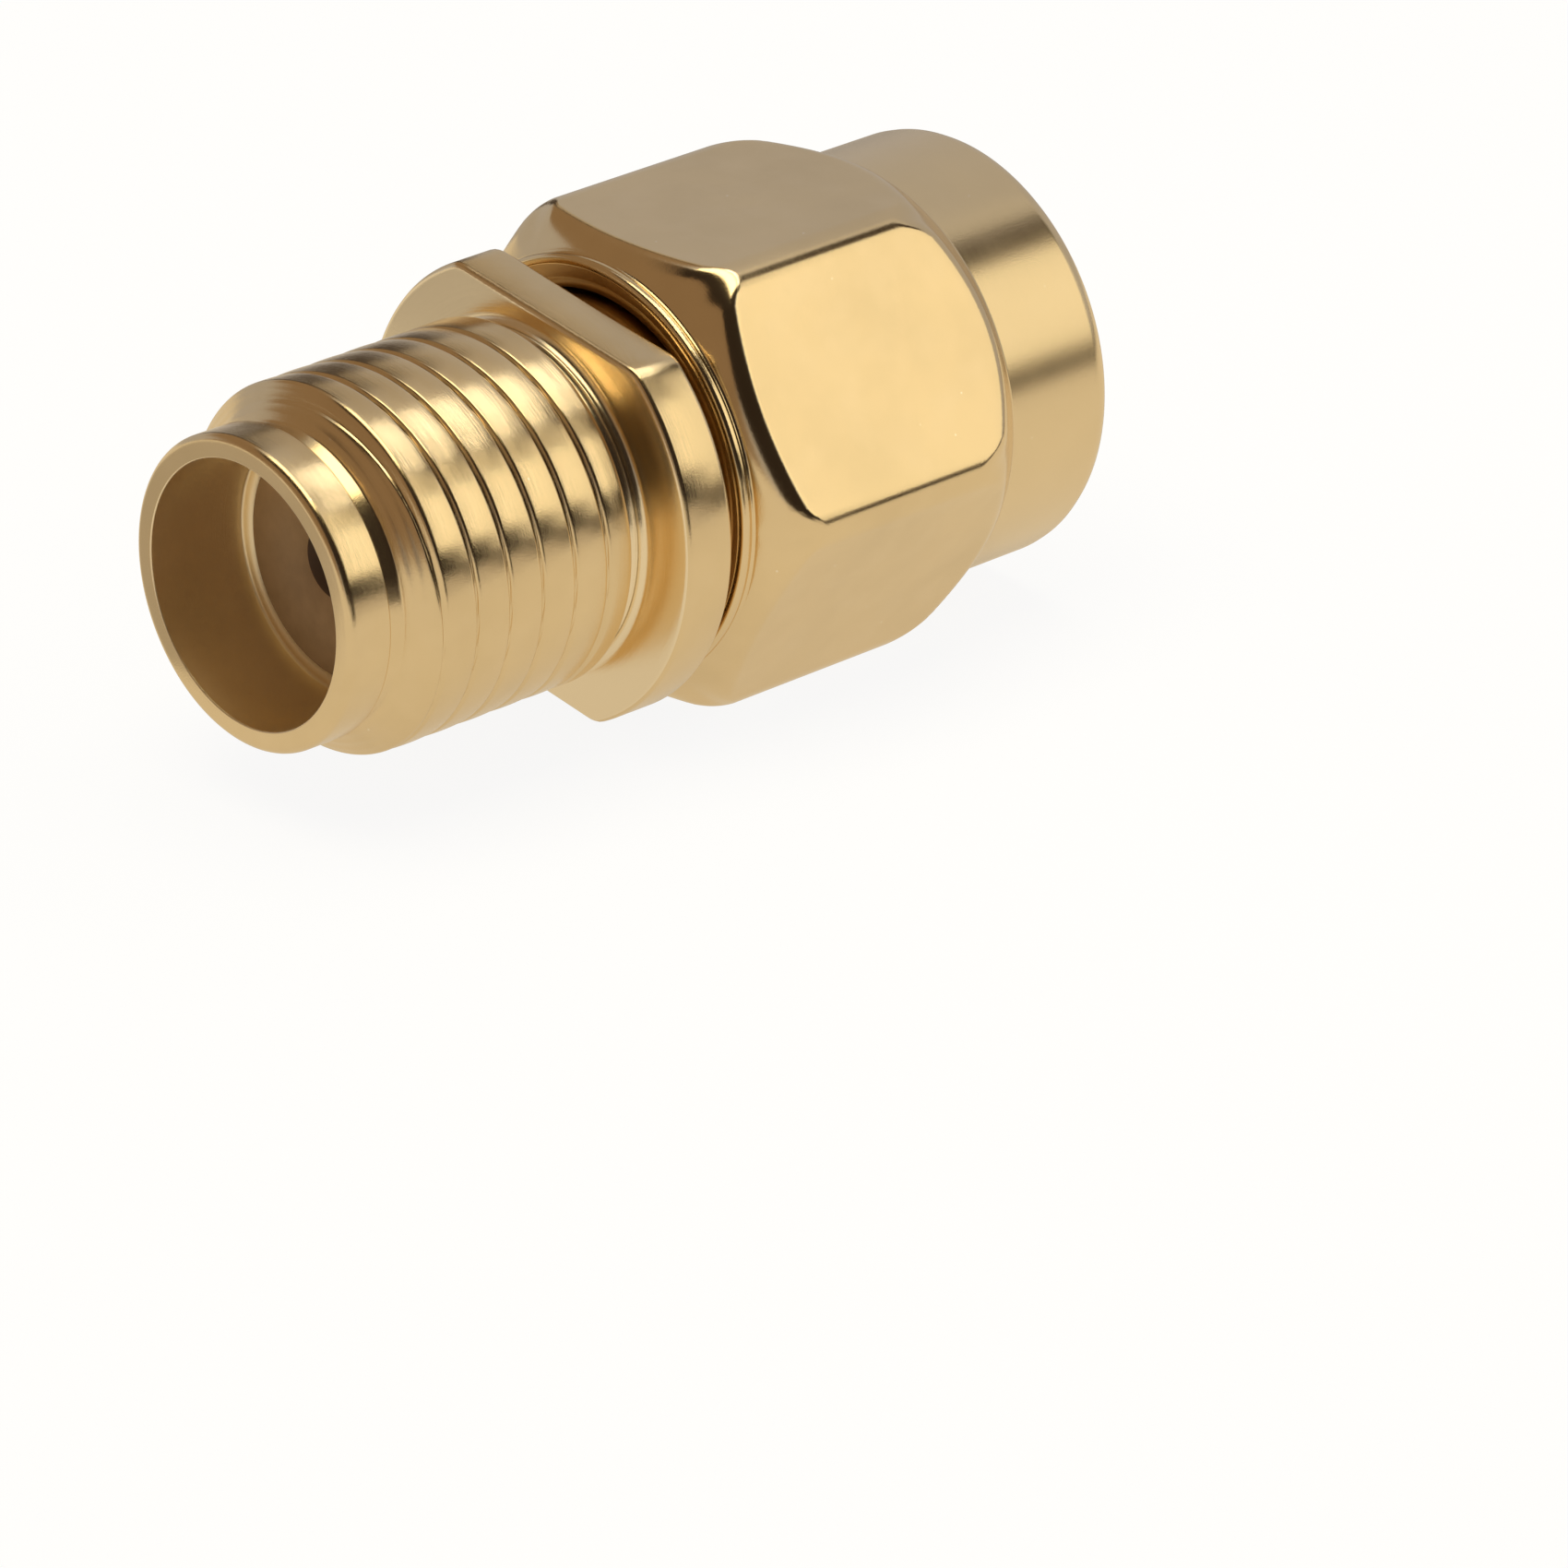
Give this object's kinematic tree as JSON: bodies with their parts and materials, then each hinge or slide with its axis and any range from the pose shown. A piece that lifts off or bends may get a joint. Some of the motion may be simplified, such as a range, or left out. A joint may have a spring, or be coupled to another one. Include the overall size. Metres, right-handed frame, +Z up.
{
  "type": "coaxial adapter",
  "caption": "Gold-plated coaxial adapter with a screwed socket at one end and a pin inside a loose hexagonal coupling nut at the other.",
  "frame": {"origin": "on the surface that the nut's lower hexagon face rests on, under the middle of the length", "axes": "+X along the adapter from the socket's mouth to the nut's free end, +Z up"},
  "size_m": [0.0162, 0.009, 0.0079],
  "materials": {
    "body_gold": "satin gold plating with fine turning marks",
    "plug_gold": "satin gold plating",
    "nut_gold": "polished satin gold plating",
    "ring_gold": "spring metal, gold plated",
    "gasket_rubber": "matte silicone rubber",
    "socket_insulator": "matte moulded insulator",
    "plug_insulator": "matte moulded insulator",
    "contact_gold": "gold plating",
    "pin_gold": "gold plating"
  },
  "bodies": {
    "adapter": {"adapter_body": "body_gold", "outer_contact": "plug_gold", "sealing_gasket": "gasket_rubber", "socket_insulator": "socket_insulator", "plug_insulator": "plug_insulator", "socket_contact": "contact_gold", "pin_contact": "pin_gold", "retaining_ring": "ring_gold"},
    "nut": {"coupling_nut": "nut_gold"}
  },
  "joints": [
    {"name": "nut_spin", "type": "hinge", "parent": "adapter", "child": "nut", "pos_m": [0, 0, 0.00397], "axis": [1, 0, 0], "continuous": true}
  ]
}
